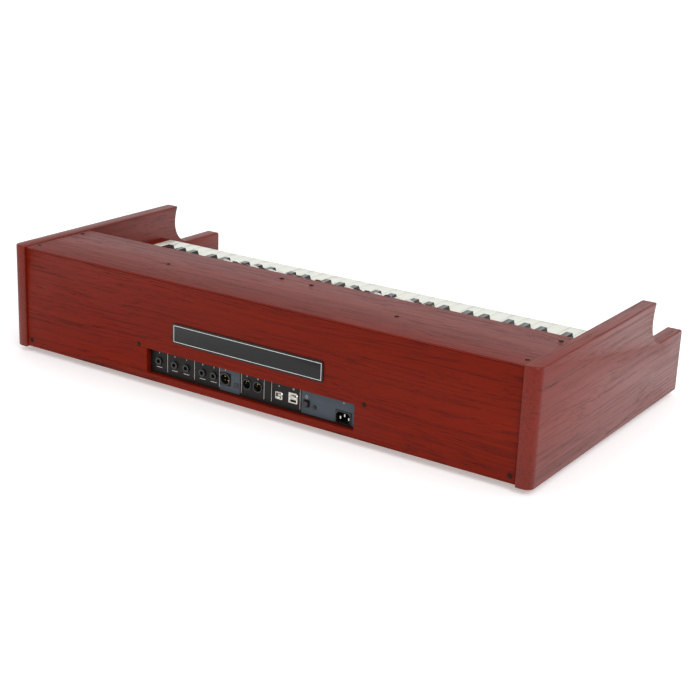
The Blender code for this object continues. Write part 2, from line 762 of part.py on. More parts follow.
def add_comb(manual, section, layer, side_cutter):
    """One comb: its keys cut from a tall plan by the side shape, then joined to their rail."""
    front, top = MANUALS[manual]
    first, last = SECTIONS[section]
    outlines = []
    for octave in range(first, last):
        for note in COMB_NOTES[layer]:
            draw = black_outline if layer == "black" else white_outline
            outlines.append(draw(octave, note, front))
    right = MANUAL_LEFT + last * OCTAVE - WHITE_GAP / 2
    if last == OCTAVES:
        right += WHITE_PITCH
        if layer == "outer":
            outlines.append(white_outline(OCTAVES, "c", front))
    height = 2 * (LIP_DEPTH + BLACK_RISE)
    mesh = flat_mesh(outlines, height, Matrix.Translation((0, 0, top)))
    slot = "black_plastic" if layer == "black" else "ivory_plastic"
    pivot = (0.0, front + PIVOT_BACK, top + PIVOT_DEPTH)
    comb = add_node(f"{manual}_{section}_{layer}_keys", mesh, slot, pivot)
    combine(comb, side_cutter, "INTERSECT")
    rail_top = top + RAIL_TOPS[layer]
    rail = box_mesh(
        (MANUAL_LEFT + first * OCTAVE + WHITE_GAP / 2, front + RAIL_START, rail_top - RAIL_THICKNESS),
        (right, front + RAIL_END, rail_top),
    )
    combine(comb, add_cutter(f"{manual}_{section}_{layer}_rail", rail), "UNION")


def add_keys(manual):
    """The six combs of one manual, hinged on one line along the rear."""
    front, top = MANUALS[manual]
    for layer in COMB_NOTES:
        profile = black_profile if layer == "black" else white_profile
        mesh = flat_mesh([profile(front, top, layer)], 2 * INNER_HALF, SIDE)
        side_cutter = add_cutter(f"{manual}_{layer}_side", mesh)
        for section in SECTIONS:
            add_comb(manual, section, layer, side_cutter)


def add_keybed(manual):
    """A folded steel bed with a guide rail in front and a pivot rail at the rear."""
    front, top = MANUALS[manual]
    floor = BED_BOTTOM + BED_THICKNESS
    points = [
        (BED_FRONT, BED_BOTTOM),
        (BED_BACK, BED_BOTTOM),
        (BED_BACK, STOP_TOP),
        (STOP_START, STOP_TOP),
        (STOP_START, PIVOT_RAIL_TOP),
        (PIVOT_RAIL_START, PIVOT_RAIL_TOP),
        (PIVOT_RAIL_START, floor),
        (GUIDE_END, floor),
        (GUIDE_END, GUIDE_TOP),
        (GUIDE_START, GUIDE_TOP),
        (GUIDE_START, floor),
        (BED_FRONT, floor),
    ]
    outline = [(front + back, top + up) for back, up in points]
    add_node(manual + "_keybed", flat_mesh([outline], 2 * BED_HALF, SIDE), "zinc_steel")


def add_contact_boards():
    """The printed boards under the keys that sense them."""
    for manual, (front, top) in MANUALS.items():
        low = top + BED_BOTTOM + BED_THICKNESS + GAP
        board = box_mesh((-0.410, front + 0.045, low), (0.410, front + 0.180, low + BOARD_THICKNESS))
        add_node(manual + "_contact_board", board, "circuit_board")


# Control panel


def slot_middle(slot):
    """Where a drawbar slot lies along X."""
    return DRAWBAR_MIDDLE + (slot - (SLOT_COUNT - 1) / 2) * DRAWBAR_PITCH


def add_control_panel():
    """The sloping sheet with its drawbar slots and the hole of the volume knob's shaft."""
    outlines = [rectangle(-FIT_HALF, -PANEL_LENGTH, FIT_HALF, 0)]
    slot_start = DRAWBAR_REST - KNOB_LENGTH / 2 - LOOSE
    slot_end = DRAWBAR_REST + KNOB_LENGTH / 2 + DRAWBAR_TRAVEL + LOOSE
    for first, count in DRAWBAR_SETS.values():
        for slot in range(first, first + count):
            x = slot_middle(slot)
            outlines.append(rectangle(x - SLOT_HALF, -slot_end, x + SLOT_HALF, -slot_start))
    outlines.append(circle((TURN_KNOB_X, -TURN_KNOB_DOWN), SHAFT_RADIUS + LOOSE / 2))
    mesh = flat_mesh(outlines, PANEL_THICKNESS, panel_frame(-PANEL_THICKNESS / 2))
    add_node("control_panel", mesh, "black_steel")


def drawbar_outline(slot):
    """A drawbar from its end: knob above the panel, stem in the slot and foot below."""
    x = slot_middle(slot)
    crown = KNOB_HALF * 0.45
    points = [(x - FOOT_HALF, FOOT_BOTTOM), (x + FOOT_HALF, FOOT_BOTTOM), (x + FOOT_HALF, STEM_BOTTOM)]
    points += [(x + STEM_HALF, STEM_BOTTOM), (x + STEM_HALF, KNOB_BOTTOM), (x + KNOB_HALF, KNOB_BOTTOM)]
    points += arc((x + KNOB_HALF - crown, KNOB_TOP - crown), crown, 0, 90, 2)
    points += arc((x - KNOB_HALF + crown, KNOB_TOP - crown), crown, 90, 180, 2)
    points += [(x - KNOB_HALF, KNOB_BOTTOM), (x - STEM_HALF, KNOB_BOTTOM), (x - STEM_HALF, STEM_BOTTOM)]
    points.append((x - FOOT_HALF, STEM_BOTTOM))
    return points


def add_drawbars():
    """Nine bars for each manual and two for the bass, in the usual order of footages."""
    for group, (first, count) in DRAWBAR_SETS.items():
        footages = ("16", "8") if group == "bass" else FOOTAGES
        for number in range(count):
            slot = first + number
            colour = "brown" if group == "bass" else FOOTAGE_COLOURS[number]
            mesh = flat_mesh([drawbar_outline(slot)], KNOB_LENGTH, slide_frame(DRAWBAR_REST))
            pivot = PANEL_ORIGIN + DOWN_PANEL * DRAWBAR_REST + ACROSS * slot_middle(slot)
            add_node(f"{group}_drawbar_{footages[number]}", mesh, colour + "_plastic", pivot)


def add_drawbar_unit():
    """The housing of the sliding contacts under all the drawbars."""
    left = slot_middle(0) - DRAWBAR_PITCH / 2
    right = slot_middle(SLOT_COUNT - 1) + DRAWBAR_PITCH / 2
    outline = rectangle(left, -0.052, right, -0.004)
    mesh = flat_mesh([outline], UNIT_TOP - UNIT_BOTTOM, panel_frame((UNIT_TOP + UNIT_BOTTOM) / 2))
    add_node("drawbar_unit", mesh, "zinc_steel")


def add_volume_knob():
    """A skirted knob on a shaft square to the panel."""
    profile = [
        (0, TURN_KNOB_HEIGHT),
        (TURN_KNOB_RADIUS - 0.0025, TURN_KNOB_HEIGHT),
        (TURN_KNOB_RADIUS - 0.0015, 0.0030),
        (TURN_KNOB_RADIUS, 0.0022),
        (TURN_KNOB_RADIUS, 0.0008),
        (SHAFT_RADIUS, 0.0008),
        (SHAFT_RADIUS, -0.0080),
        (0, -0.0080),
    ]
    foot = PANEL_ORIGIN + DOWN_PANEL * TURN_KNOB_DOWN + ACROSS * TURN_KNOB_X
    place = frame_of(ACROSS, -DOWN_PANEL, OFF_PANEL, foot)
    smooth(add_node("volume_knob", turned_mesh(profile, place, 20), "black_plastic", foot))


# Electronics


def add_electronics():
    """The main board on its pillars and the power supply, both on the bottom panel."""
    floor = CASE_BOTTOM + BOTTOM_PANEL_THICKNESS + GAP
    pillar = 0.006
    slab = box_mesh((-0.170, 0.060, floor + pillar), (0.160, 0.190, floor + pillar + BOARD_THICKNESS))
    board = add_node("main_board", slab, "circuit_board")
    for x in (-0.160, 0.150):
        for y in (0.070, 0.180):
            low = (x - 0.003, y - 0.003, floor)
            post = box_mesh(low, (x + 0.003, y + 0.003, floor + pillar + LOOSE))
            combine(board, add_cutter(f"pillar_{x}_{y}", post), "UNION")
    supply = box_mesh((-0.340, 0.080, floor), (-0.220, 0.170, floor + 0.038))
    add_node("power_supply", supply, "zinc_steel")


clear_scene()
organ = new_collection("organ")
cutters = new_collection("cutters")
add_cheek("bass_cheek", -1)
add_cheek("treble_cheek", 1)
add_rear_panel()
add_top_panel()
add_bottom_panel()
add_key_frames()
add_feet()
add_name_plate()
add_connector_plate()
add_round_sockets()
add_usb_sockets()
add_mains_inlet()
add_power_button()
for manual_name in MANUALS:
    add_keybed(manual_name)
    add_keys(manual_name)
add_contact_boards()
add_control_panel()
add_drawbars()
add_drawbar_unit()
add_volume_knob()
add_electronics()
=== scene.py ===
"""Dresses a two-manual electronic organ: stained wood, keys, drawbars and connectors.

The frame's solids give the sizes. Each is shown as a copy with its own finish, mostly with
softened edges, and small things are added: screws, socket pins, painted zones, printed lines
and numbers, and the name plate's outline. Lengths are in metres.
"""

import json
import math

import bmesh
import bpy
from mathutils import Matrix, Vector


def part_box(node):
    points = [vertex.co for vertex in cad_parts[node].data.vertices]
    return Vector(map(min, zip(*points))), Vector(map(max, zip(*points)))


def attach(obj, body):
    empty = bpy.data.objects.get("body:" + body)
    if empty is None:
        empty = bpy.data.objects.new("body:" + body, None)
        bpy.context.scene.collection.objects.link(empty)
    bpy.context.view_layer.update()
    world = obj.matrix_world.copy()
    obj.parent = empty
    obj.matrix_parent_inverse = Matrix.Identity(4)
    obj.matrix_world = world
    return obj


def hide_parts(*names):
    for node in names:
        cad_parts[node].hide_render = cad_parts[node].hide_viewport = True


bl_info = {
    "name": "Two-manual organ",
    "version": (1, 0, 0),
    "blender": (4, 5, 0),
    "location": "View3D > Sidebar > Organ",
    "description": "Builds the looks of a two-manual electronic organ around its frame",
    "category": "Object",
}

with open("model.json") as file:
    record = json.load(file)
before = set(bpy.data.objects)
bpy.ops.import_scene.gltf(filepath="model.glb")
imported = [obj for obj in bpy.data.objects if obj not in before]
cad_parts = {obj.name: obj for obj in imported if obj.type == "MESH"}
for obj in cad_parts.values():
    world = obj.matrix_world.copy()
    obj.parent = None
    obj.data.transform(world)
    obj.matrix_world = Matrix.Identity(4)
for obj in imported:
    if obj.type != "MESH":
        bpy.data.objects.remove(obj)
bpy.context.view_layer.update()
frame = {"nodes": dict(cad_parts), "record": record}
NODES = frame["nodes"]
CASE = "case"

# The camera that the photo was taken with, solved from its corners
CAMERA_PLACE = (-1.1971, 1.8315, 0.7718)
CAMERA_AZIMUTH = math.radians(34.071)
CAMERA_ELEVATION = math.radians(18.204)
CAMERA_ROLL = math.radians(1.986)
CAMERA_LENS = 74.64
CAMERA_SENSOR = 36.0
CAMERA_SHIFT = (0.0457, -0.0155)

# Studio: each light's name, place, target, size and power
FLOOR_HALF = 12.0
FLOOR_COLOUR = (0.92, 0.92, 0.92, 1.0)
FLOOR_ROUGHNESS = 0.9
FLOOR_GLOW = 0.32
STUDIO_WHITE = (1.0, 1.0, 1.0, 1.0)
WORLD_STRENGTH = 0.80
LIGHTS = (
    ("key_light", (-2.6, 1.6, 2.6), (0.0, 0.1, 0.1), (1.8, 1.8), 36.0),
    ("fill_light", (1.8, 2.8, 1.8), (0.0, 0.1, 0.1), (1.6, 1.6), 5.0),
    ("top_light", (0.0, -0.6, 2.6), (0.0, 0.0, 0.1), (2.4, 1.6), 8.0),
)

# What each surface group puts out
SURFACE_OUTPUTS = (
    ("Color", "NodeSocketColor"),
    ("Roughness", "NodeSocketFloat"),
    ("Height", "NodeSocketFloat"),
)

# Wood: the noises' scales along and across the grain, and the spans of noise that each mask takes
WANDER_SCALE = (2.2, 9.0, 9.0)
WANDER_WIDTH = 0.05
LINE_SCALE = (0.8, 330.0, 330.0)
LINE_SPAN = (0.48, 0.68)
LINE_STRENGTH = 0.50
NEAR_LINE_SPAN = (0.40, 0.62)
PORES_OFF_LINES = 0.15
PORE_SCALE = (26.0, 900.0, 900.0)
PORE_SPAN = (0.56, 0.68)
SHADE_SCALE = (1.5, 14.0, 14.0)
SHADE_STRENGTH = 0.25
GRAIN_ROUGHNESS = (0.34, 0.62)
GRAIN_HEIGHT = 0.00012
LACQUER_SHARE = 0.35
LACQUER_ROUGHNESS = 0.25

# Plastic, paint, rubber and metal: slow patches, and a fine texture on them
BROAD_SPAN = (0.3, 0.7)
PATCH_SCALE = 35.0
PATCH_GLOSS = (-0.06, 0.06)
PATCH_TONE = (0.93, 1.04)
FINE_TEXTURE = 900.0
FINE_HEIGHT = 0.000015

# Faces that carry small things
PLATE_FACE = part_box("connector_plate")[1][1]
REAR_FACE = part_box("rear_panel")[1][1]
TOP_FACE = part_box("top_panel")[1][2]
BOARD_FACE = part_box("main_board")[1][2]
NAME_LOW, NAME_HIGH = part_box("name_plate")

# Half the thickness of paint and print, half in and half out of what carries it
SKIN = 0.00015

# Edges and shading of the solids' copies
FINE_EDGE = 0.0002
NARROW_EDGE = FINE_EDGE * 1.5
SOFT_EDGE = 0.0004
FULL_EDGE = SOFT_EDGE * 1.5
WIDE_EDGE = SOFT_EDGE * 2
REAR_EDGE_SHARE = 0.6
BLACK_KEY_EDGE_SHARE = 1.5
COPY_WELD = 2e-6
FLAT_ANGLE = math.radians(0.5)
SHARP_ANGLE = math.radians(35)
CORNER_ANGLE = math.radians(40)

# Screws, at X and Y on the top and at X and Z on the rear
TOP_SCREWS = (
    (-0.434, 0.223),
    (0.434, 0.223),
    (-0.434, 0.124),
    (0.434, 0.124),
    (-0.207, 0.174),
    (0.207, 0.174),
    (-0.027, 0.124),
    (0.027, 0.124),
)
REAR_SCREWS = ((-0.4335, 0.0207), (0.4335, 0.0207), (-0.205, 0.0642), (0.205, 0.0642))
HEAD_SEGMENTS = 20
HEAD_RINGS = 8
SCREW_FLATNESS = 0.36
RECESS_LENGTH = 0.0040
RECESS_WIDTH = 0.0009
RECESS_DEPTH = 0.0020
RECESS_LIFT = 0.0015

# The name plate's outline
OUTLINE_INSET = 0.0028

# Connectors, at X and Z on the plate
JACK_PLACES = (
    (0.1723, 0.0414),
    (0.1418, 0.0414),
    (0.1191, 0.0414),
    (0.0880, 0.0414),
    (0.0665, 0.0414),
)
SPEAKER_PLACE = (0.0446, 0.0414)
SPEAKER_HALF = (0.0102, 0.0102)
SQUARE_PLACE = (0.0245, 0.0358)
SQUARE_HALF = (0.0040, 0.0036)
MIDI_PLACES = ((0.0047, 0.0425), (-0.0151, 0.0425))
USB_SMALL_PLACE = (-0.0531, 0.0392)
USB_LARGE_PLACE = (-0.0785, 0.0412)
POWER_PLACE = (-0.1021, 0.0385)
POWER_HALF = (0.0056, 0.0056)
FUSE_PLACE = (-0.1160, 0.0356)
INLET_PLACE = (-0.1655, 0.0324)
INLET_HALF = (0.0133, 0.0096)

# Pins and tongues, with angles in degrees and depths from the plate's face
ROD_SIDES = 16
PIN_SIDES = 10
PIN_CIRCLE = 0.0042
MIDI_PIN_ANGLES = (180, 225, 270, 315, 360)
MIDI_PIN_RADIUS = 0.0007
MIDI_PIN_DEPTHS = (-0.0093, -0.003)
SPEAKER_PIN_ANGLES = (45, 135, 225, 315)
SPEAKER_PIN_RADIUS = 0.0008
SPEAKER_PIN_DEPTHS = (-0.0103, -0.003)
MAINS_PIN_SHIFTS = ((-0.0070, -0.0020), (0.0, 0.0022), (0.0070, -0.0020))
MAINS_PIN_HALF = (0.0010, 0.0020)
MAINS_PIN_DEPTHS = (-0.0183, -0.0030)
USB_LARGE_LIFTS = (-0.0029, 0.0045)
USB_LARGE_TONGUE_HALF = (0.0055, 0.0009)
USB_LARGE_TONGUE_DEPTHS = (-0.0123, -0.0012)
USB_SMALL_TONGUE_HALF = (0.0026, 0.0018)
USB_SMALL_TONGUE_DEPTHS = (-0.0103, -0.0012)

# Small fittings that stand out of the plate: radius, low and high of each step
FUSE_STEPS = ((0.0034, -0.0002, 0.0018), (0.0022, 0.0017, 0.0026))
SQUARE_DEPTHS = (-0.0002, 0.0009)

# Painted zones: the connector in each, half the space left for it, and the zone's left and right
PAINT_LOW = 0.0226
PAINT_HIGH = 0.0598
PAINT_ZONES = (
    (INLET_PLACE, INLET_HALF, -0.1870, -0.1100 - SKIN),
    (POWER_PLACE, POWER_HALF, -0.1100, -0.0935),
    (SPEAKER_PLACE, SPEAKER_HALF, 0.0180, 0.0555),
)

# Printed lines between the connectors and under the jacks
DIVIDERS = (0.1560, 0.1035, 0.0560, 0.0150, -0.0265, -0.0400, -0.0905)
DIVIDER_LOW = PAINT_LOW + 0.004
DIVIDER_HIGH = PAINT_HIGH - 0.002
DIVIDER_HALF_WIDTH = 0.0002
UNDERLINE_DROP = 0.0099
UNDERLINE_HALF = (0.0055, 0.0003)

# The ring over the power button
RING_SIDES = 24
RING_RADIUS = 0.0017
RING_SPREAD = 1.25
RING_LIFT = 0.0098

# Printed numbers: the connectors they count, and how high the digits stand
NUMBER_SIZE = 0.0036
NUMBER_WELD = 1e-6
NUMBERED = (
    (JACK_PLACES, 0.0530),
    ((SPEAKER_PLACE,), 0.0545),
    (MIDI_PLACES, 0.0535),
    ((USB_SMALL_PLACE,), 0.0520),
    ((USB_LARGE_PLACE, INLET_PLACE), 0.0530),
)

# Chips on the main board: X, Y and half the side
CHIPS = ((-0.09, 0.125, 0.014), (-0.02, 0.130, 0.020), (0.07, 0.120, 0.012))
CHIP_SUNK = 0.0001
CHIP_HEIGHT = 0.0020


class OrganSizes(bpy.types.PropertyGroup):
    wood_edge: bpy.props.FloatProperty(
        name="Wood edge",
        description="Rounding of the panels' edges",
        default=0.0008,
        unit="LENGTH",
    )
    key_edge: bpy.props.FloatProperty(
        name="Key edge",
        description="Rounding of the keys' edges",
        default=0.0006,
        unit="LENGTH",
    )
    screw_head: bpy.props.FloatProperty(
        name="Screw head",
        description="Radius of the screws' heads",
        default=0.0037,
        unit="LENGTH",
    )
    outline_width: bpy.props.FloatProperty(
        name="Outline",
        description="Width of the name plate's outline",
        default=0.0007,
        unit="LENGTH",
    )


class OrganColours(bpy.types.PropertyGroup):
    stain: bpy.props.FloatVectorProperty(
        name="Stain",
        description="Stain between the grain lines",
        subtype="COLOR",
        default=(0.192, 0.0100, 0.0012),
    )
    grain: bpy.props.FloatVectorProperty(
        name="Grain",
        description="Dark grain lines",
        subtype="COLOR",
        default=(0.030, 0.0028, 0.0018),
    )
    ivory: bpy.props.FloatVectorProperty(
        name="Ivory",
        description="White keys",
        subtype="COLOR",
        default=(0.80, 0.81, 0.70),
    )


def sizes():
    return bpy.context.scene.organ_sizes


def colours():
    return bpy.context.scene.organ_colours


# Shader groups


def new_group(name, inputs, outputs):
    """An empty shader group with named sockets."""
    tree = bpy.data.node_groups.new(name, "ShaderNodeTree")
    for socket, kind, value in inputs:
        item = tree.interface.new_socket(socket, in_out="INPUT", socket_type=kind)
        if value is not None:
            item.default_value = value
    for socket, kind in outputs:
        tree.interface.new_socket(socket, in_out="OUTPUT", socket_type=kind)
    entry = tree.nodes.new("NodeGroupInput")
    leave = tree.nodes.new("NodeGroupOutput")
    return tree, entry, leave


def noise_node(tree, vector, scale, detail, rough=0.5):
    node = tree.nodes.new("ShaderNodeTexNoise")
    node.inputs["Scale"].default_value = scale
    node.inputs["Detail"].default_value = detail
    node.inputs["Roughness"].default_value = rough
    tree.links.new(vector, node.inputs["Vector"])
    return node.outputs["Fac"]


def stretched_noise(tree, vector, scale, detail, rough=0.5):
    """Noise whose features differ in length along the three axes."""
    mapping = tree.nodes.new("ShaderNodeMapping")
    mapping.inputs["Scale"].default_value = scale
    tree.links.new(vector, mapping.inputs["Vector"])
    return noise_node(tree, mapping.outputs["Vector"], 1.0, detail, rough)


def math_node(tree, operation, first, second):
    node = tree.nodes.new("ShaderNodeMath")
    node.operation = operation
    for socket, value in zip(node.inputs, (first, second)):
        if isinstance(value, float):
            socket.default_value = value
        else:
            tree.links.new(value, socket)
    return node.outputs[0]


def range_node(tree, value, low, high, to_low=0.0, to_high=1.0):
    node = tree.nodes.new("ShaderNodeMapRange")
    node.inputs["From Min"].default_value = low
    node.inputs["From Max"].default_value = high
    node.inputs["To Min"].default_value = to_low
    node.inputs["To Max"].default_value = to_high
    tree.links.new(value, node.inputs["Value"])
    return node.outputs["Result"]


def mix_colour(tree, factor, first, second):
    """A mix of two colours, which are inputs 6 and 7 and output 2 of the mix node."""
    node = tree.nodes.new("ShaderNodeMix")
    node.data_type = "RGBA"
    tree.links.new(factor, node.inputs[0])
    tree.links.new(first, node.inputs[6])
    tree.links.new(second, node.inputs[7])
    return node.outputs[2]


def wandering(tree, vector):
    """The place, pushed sideways by slow noise, so that the grain wanders."""
    slow = stretched_noise(tree, vector, WANDER_SCALE, detail=2.0)
    sideways = math_node(tree, "MULTIPLY", slow, WANDER_WIDTH)
    push = tree.nodes.new("ShaderNodeCombineXYZ")
    tree.links.new(sideways, push.inputs["Y"])
    tree.links.new(sideways, push.inputs["Z"])
    moved = tree.nodes.new("ShaderNodeVectorMath")
    tree.links.new(vector, moved.inputs[0])
    tree.links.new(push.outputs[0], moved.inputs[1])
    return moved.outputs[0]


def grain_group():
    """Open ash grain that runs along X: wandering growth lines and short dark pores."""
    tree, entry, leave = new_group(
        "ash_grain",
        (
            ("Vector", "NodeSocketVector", None),
            ("Stain", "NodeSocketColor", None),
            ("Grain", "NodeSocketColor", None),
        ),
        SURFACE_OUTPUTS,
    )
    vector = entry.outputs["Vector"]
    moved = wandering(tree, vector)
    lines = stretched_noise(tree, moved, LINE_SCALE, detail=3.0, rough=0.6)
    pores = stretched_noise(tree, moved, PORE_SCALE, detail=2.0, rough=0.6)
    broad = stretched_noise(tree, vector, SHADE_SCALE, detail=2.0)
    line_mask = math_node(tree, "MULTIPLY", range_node(tree, lines, *LINE_SPAN), LINE_STRENGTH)
    near_lines = range_node(tree, lines, *NEAR_LINE_SPAN, to_low=PORES_OFF_LINES)
    pore_mask = math_node(tree, "MULTIPLY", range_node(tree, pores, *PORE_SPAN), near_lines)
    dark = math_node(tree, "MAXIMUM", line_mask, pore_mask)
    shade = range_node(tree, broad, *BROAD_SPAN, to_high=SHADE_STRENGTH)
    tone = mix_colour(tree, shade, entry.outputs["Stain"], entry.outputs["Grain"])
    tree.links.new(mix_colour(tree, dark, tone, entry.outputs["Grain"]), leave.inputs["Color"])
    roughness = range_node(tree, dark, 0.0, 1.0, *GRAIN_ROUGHNESS)
    tree.links.new(roughness, leave.inputs["Roughness"])
    tree.links.new(math_node(tree, "MULTIPLY", dark, -1.0), leave.inputs["Height"])


def fine_surface_group():
    """Fine surface life: slow changes of gloss, and a faint moulded or painted texture."""
    tree, entry, leave = new_group(
        "fine_surface",
        (
            ("Vector", "NodeSocketVector", None),
            ("Color", "NodeSocketColor", None),
            ("Roughness", "NodeSocketFloat", 0.3),
            ("Texture Scale", "NodeSocketFloat", FINE_TEXTURE),
        ),
        SURFACE_OUTPUTS,
    )
    vector = entry.outputs["Vector"]
    slow = noise_node(tree, vector, PATCH_SCALE, detail=4.0, rough=0.6)
    fine = tree.nodes.new("ShaderNodeTexNoise")
    fine.inputs["Detail"].default_value = 2.0
    tree.links.new(vector, fine.inputs["Vector"])
    tree.links.new(entry.outputs["Texture Scale"], fine.inputs["Scale"])
    gloss = range_node(tree, slow, *BROAD_SPAN, *PATCH_GLOSS)
    roughness = math_node(tree, "ADD", entry.outputs["Roughness"], gloss)
    tree.links.new(roughness, leave.inputs["Roughness"])
    shade = tree.nodes.new("ShaderNodeHueSaturation")
    tree.links.new(range_node(tree, slow, *BROAD_SPAN, *PATCH_TONE), shade.inputs["Value"])
    tree.links.new(entry.outputs["Color"], shade.inputs["Color"])
    tree.links.new(shade.outputs["Color"], leave.inputs["Color"])
    tree.links.new(fine.outputs["Fac"], leave.inputs["Height"])


# Finishes


def plain_material(name, gloss=0.5, metallic=0.0, coat=0.0, coat_roughness=0.1):
    material = bpy.data.materials.new(name)
    material.use_nodes = True
    shader = material.node_tree.nodes["Principled BSDF"]
    shader.inputs["Specular IOR Level"].default_value = gloss
    shader.inputs["Metallic"].default_value = metallic
    shader.inputs["Coat Weight"].default_value = coat
    shader.inputs["Coat Roughness"].default_value = coat_roughness
    return material, shader


def place_group(tree, name):
    group = tree.nodes.new("ShaderNodeGroup")
    group.node_tree = bpy.data.node_groups[name]
    return group


def finish_with(tree, shader, group, height):
    """Feed a group's colour, roughness and height to the shader."""
    bump = tree.nodes.new("ShaderNodeBump")
    bump.inputs["Strength"].default_value = 1.0
    bump.inputs["Distance"].default_value = height
    tree.links.new(group.outputs["Height"], bump.inputs["Height"])
    tree.links.new(bump.outputs["Normal"], shader.inputs["Normal"])
    tree.links.new(group.outputs["Color"], shader.inputs["Base Color"])
    tree.links.new(group.outputs["Roughness"], shader.inputs["Roughness"])


def wood(name, gloss, turn=0.0, offset=(0.0, 0.0, 0.0)):
    """Lacquered red-stained ash whose grain runs along a piece after a turn about Z."""
    lacquer = gloss * LACQUER_SHARE
    material, shader = plain_material(name, gloss, 0.0, lacquer, LACQUER_ROUGHNESS)
    tree = material.node_tree
    coordinates = tree.nodes.new("ShaderNodeTexCoord")
    mapping = tree.nodes.new("ShaderNodeMapping")
    mapping.inputs["Rotation"].default_value = (0.0, 0.0, turn)
    mapping.inputs["Location"].default_value = offset
    group = place_group(tree, "ash_grain")
    group.inputs["Stain"].default_value = (*colours().stain, 1.0)
    group.inputs["Grain"].default_value = (*colours().grain, 1.0)
    tree.links.new(coordinates.outputs["Object"], mapping.inputs["Vector"])
    tree.links.new(mapping.outputs["Vector"], group.inputs["Vector"])
    finish_with(tree, shader, group, GRAIN_HEIGHT)


def surface(
    name,
    colour,
    roughness,
    gloss=0.5,
    coat=0.0,
    metallic=0.0,
    texture=FINE_TEXTURE,
    height=FINE_HEIGHT,
):
    """A plastic, paint, rubber or metal with a fine texture."""
    material, shader = plain_material(name, gloss, metallic, coat)
    tree = material.node_tree
    coordinates = tree.nodes.new("ShaderNodeTexCoord")
    group = place_group(tree, "fine_surface")
    group.inputs["Color"].default_value = (*colour, 1.0)
    group.inputs["Roughness"].default_value = roughness
    group.inputs["Texture Scale"].default_value = texture
    tree.links.new(coordinates.outputs["Object"], group.inputs["Vector"])
    finish_with(tree, shader, group, height)


def metal(name, colour, roughness, texture=FINE_TEXTURE):
    surface(name, colour, roughness, metallic=1.0, texture=texture)


def make_woods():
    wood("wood_along_x", gloss=0.08)
    wood("wood_top", gloss=0.14, offset=(0.37, 0.21, 0.4))
    wood("wood_along_y", gloss=0.26, turn=math.pi / 2, offset=(1.3, 0.2, 0.1))
    surface("plain_board", (0.30, 0.20, 0.12), 0.7, texture=500.0, height=0.0001)


def make_plastics():
    surface("ivory_plastic", colours().ivory, 0.22, coat=0.3, texture=250.0, height=0.000006)
    surface(
        "black_key_plastic",
        (0.010, 0.010, 0.011),
        0.14,
        gloss=0.25,
        coat=0.08,
        texture=400.0,
        height=0.000006,
    )
    surface("black_plastic", (0.006, 0.006, 0.007), 0.34, gloss=0.1, texture=1500.0)
    surface("brown_plastic", (0.085, 0.030, 0.016), 0.28, coat=0.2)
    surface("white_plastic", (0.80, 0.79, 0.75), 0.28, coat=0.2)
    surface("beige_plastic", (0.62, 0.55, 0.42), 0.40)
    surface("rubber", (0.016, 0.016, 0.016), 0.85, texture=1200.0, height=0.00006)
    surface("circuit_board", (0.015, 0.11, 0.045), 0.42, texture=700.0, height=0.00003)


def make_paints():
    black = (0.012, 0.010, 0.009)
    blue_grey = (0.065, 0.080, 0.098)
    surface("black_paint", black, 0.42, gloss=0.2, texture=2200.0, height=0.00004)
    surface("blue_grey_paint", blue_grey, 0.45, gloss=0.2, texture=2200.0, height=0.00003)
    surface("white_ink", (0.78, 0.78, 0.76), 0.5)


def make_metals():
    metal("zinc_steel", (0.50, 0.51, 0.52), 0.38, texture=300.0)
    metal("nickel", (0.64, 0.63, 0.60), 0.26)
    metal("gold_pin", (0.75, 0.55, 0.22), 0.25)
    metal("bronze", (0.030, 0.018, 0.012), 0.36)


# Piece helpers


def link(name, data):
    obj = bpy.data.objects.new(name, data)
    bpy.context.scene.collection.objects.link(obj)
    return obj


def softened(node, body, material, width=0.0, segments=2):
    """A CAD node's shape in its place, with rounded edges where it has a width."""
    mesh = NODES[node].data.copy()
    work = bmesh.new()
    work.from_mesh(mesh)
    bmesh.ops.remove_doubles(work, verts=work.verts, dist=COPY_WELD)
    bmesh.ops.dissolve_limit(work, angle_limit=FLAT_ANGLE, verts=work.verts, edges=work.edges)
    work.to_mesh(mesh)
    work.free()
    mesh.name = node + "_looks"
    mesh.materials.clear()
    mesh.materials.append(bpy.data.materials[material])
    mesh.shade_smooth()
    obj = link(mesh.name, mesh)
    if width:
        bevel = obj.modifiers.new("edges", "BEVEL")
        bevel.width = width
        bevel.segments = segments
        bevel.limit_method = "ANGLE"
        bevel.angle_limit = CORNER_ANGLE
        bevel.harden_normals = True
    else:
        mesh.set_sharp_from_angle(angle=SHARP_ANGLE)
    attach(obj, body)
    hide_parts(node)


def box_into(work, low, high):
    made = bmesh.ops.create_cube(work, size=1.0)
    bmesh.ops.scale(work, vec=Vector(high) - Vector(low), verts=made["verts"])
    bmesh.ops.translate(work, vec=(Vector(low) + Vector(high)) / 2, verts=made["verts"])


def plate_box(work, place, half, depths):
    """A box about a place on the connector plate, between two depths from its face."""
    x, z = place
    low = (x - half[0], PLATE_FACE + depths[0], z - half[1])
    high = (x + half[0], PLATE_FACE + depths[1], z + half[1])
    box_into(work, low, high)


def plate_rod(work, place, radius, depths, sides=ROD_SIDES):
    """A round rod at a place on the connector plate, between two depths from its face."""
    middle = Vector((place[0], PLATE_FACE + (depths[0] + depths[1]) / 2, place[1]))
    bmesh.ops.create_cone(
        work,
        cap_ends=True,
        segments=sides,
        radius1=radius,
        radius2=radius,
        depth=depths[1] - depths[0],
        matrix=Matrix.Translation(middle) @ Matrix.Rotation(math.pi / 2, 4, "X"),
    )


def add_small(name, mesh, material, sharp=SHARP_ANGLE):
    """A small static piece in its finish, which rides on the case."""
    obj = link(name, mesh)
    mesh.shade_smooth()
    mesh.set_sharp_from_angle(angle=sharp)
    mesh.materials.clear()
    mesh.materials.append(bpy.data.materials[material])
    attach(obj, CASE)


